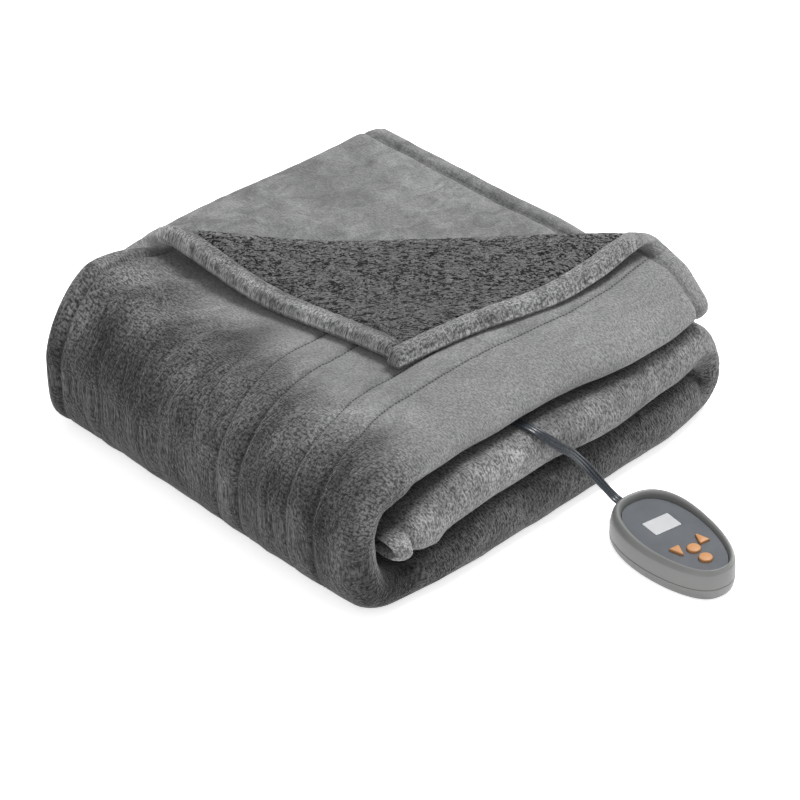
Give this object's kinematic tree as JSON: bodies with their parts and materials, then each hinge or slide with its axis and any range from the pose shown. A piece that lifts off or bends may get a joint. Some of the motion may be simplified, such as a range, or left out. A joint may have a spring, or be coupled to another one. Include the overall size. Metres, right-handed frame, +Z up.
{
  "type": "folded heated throw",
  "caption": "Plush throw with a curly pile back, folded in thirds both ways with a corner turned back, and an oval hand controller on a flat cord.",
  "frame": {"origin": "on the floor, under the middle of the folded throw, on the flat underside of its bottom strip", "axes": "+X along the folded strips towards their right fold, +Y across them away from the controller, +Z up"},
  "size_m": [0.5032, 0.657, 0.181],
  "materials": {
    "plush": "short dense pile, faintly lustrous",
    "curly_pile": "matt curly pile",
    "cord": "satin, ribbed",
    "shell": "satin",
    "panel": "fine grain",
    "display": "smooth",
    "buttons": "matt"
  },
  "bodies": {
    "throw": {"plush_face": "plush", "sherpa_back": "curly_pile", "cord": "cord", "cord_grommet": "cord", "controller_base": "shell", "controller_bezel": "shell", "controller_panel": "panel", "display_window": "display"},
    "button_down_key": {"button_down": "buttons"},
    "button_up_key": {"button_up": "buttons"},
    "button_middle_key": {"button_middle": "buttons"},
    "button_power_key": {"button_power": "buttons"}
  },
  "joints": [
    {"name": "button_down_press", "type": "slide", "parent": "throw", "child": "button_down_key", "axis": [0, 0, -1], "range_m": [0, 0.0008], "stiffness_N_per_m": 1500},
    {"name": "button_up_press", "type": "slide", "parent": "throw", "child": "button_up_key", "axis": [0, 0, -1], "range_m": [0, 0.0008], "stiffness_N_per_m": 1500},
    {"name": "button_middle_press", "type": "slide", "parent": "throw", "child": "button_middle_key", "axis": [0, 0, -1], "range_m": [0, 0.0008], "stiffness_N_per_m": 1500},
    {"name": "button_power_press", "type": "slide", "parent": "throw", "child": "button_power_key", "axis": [0, 0, -1], "range_m": [0, 0.0008], "stiffness_N_per_m": 1500}
  ]
}
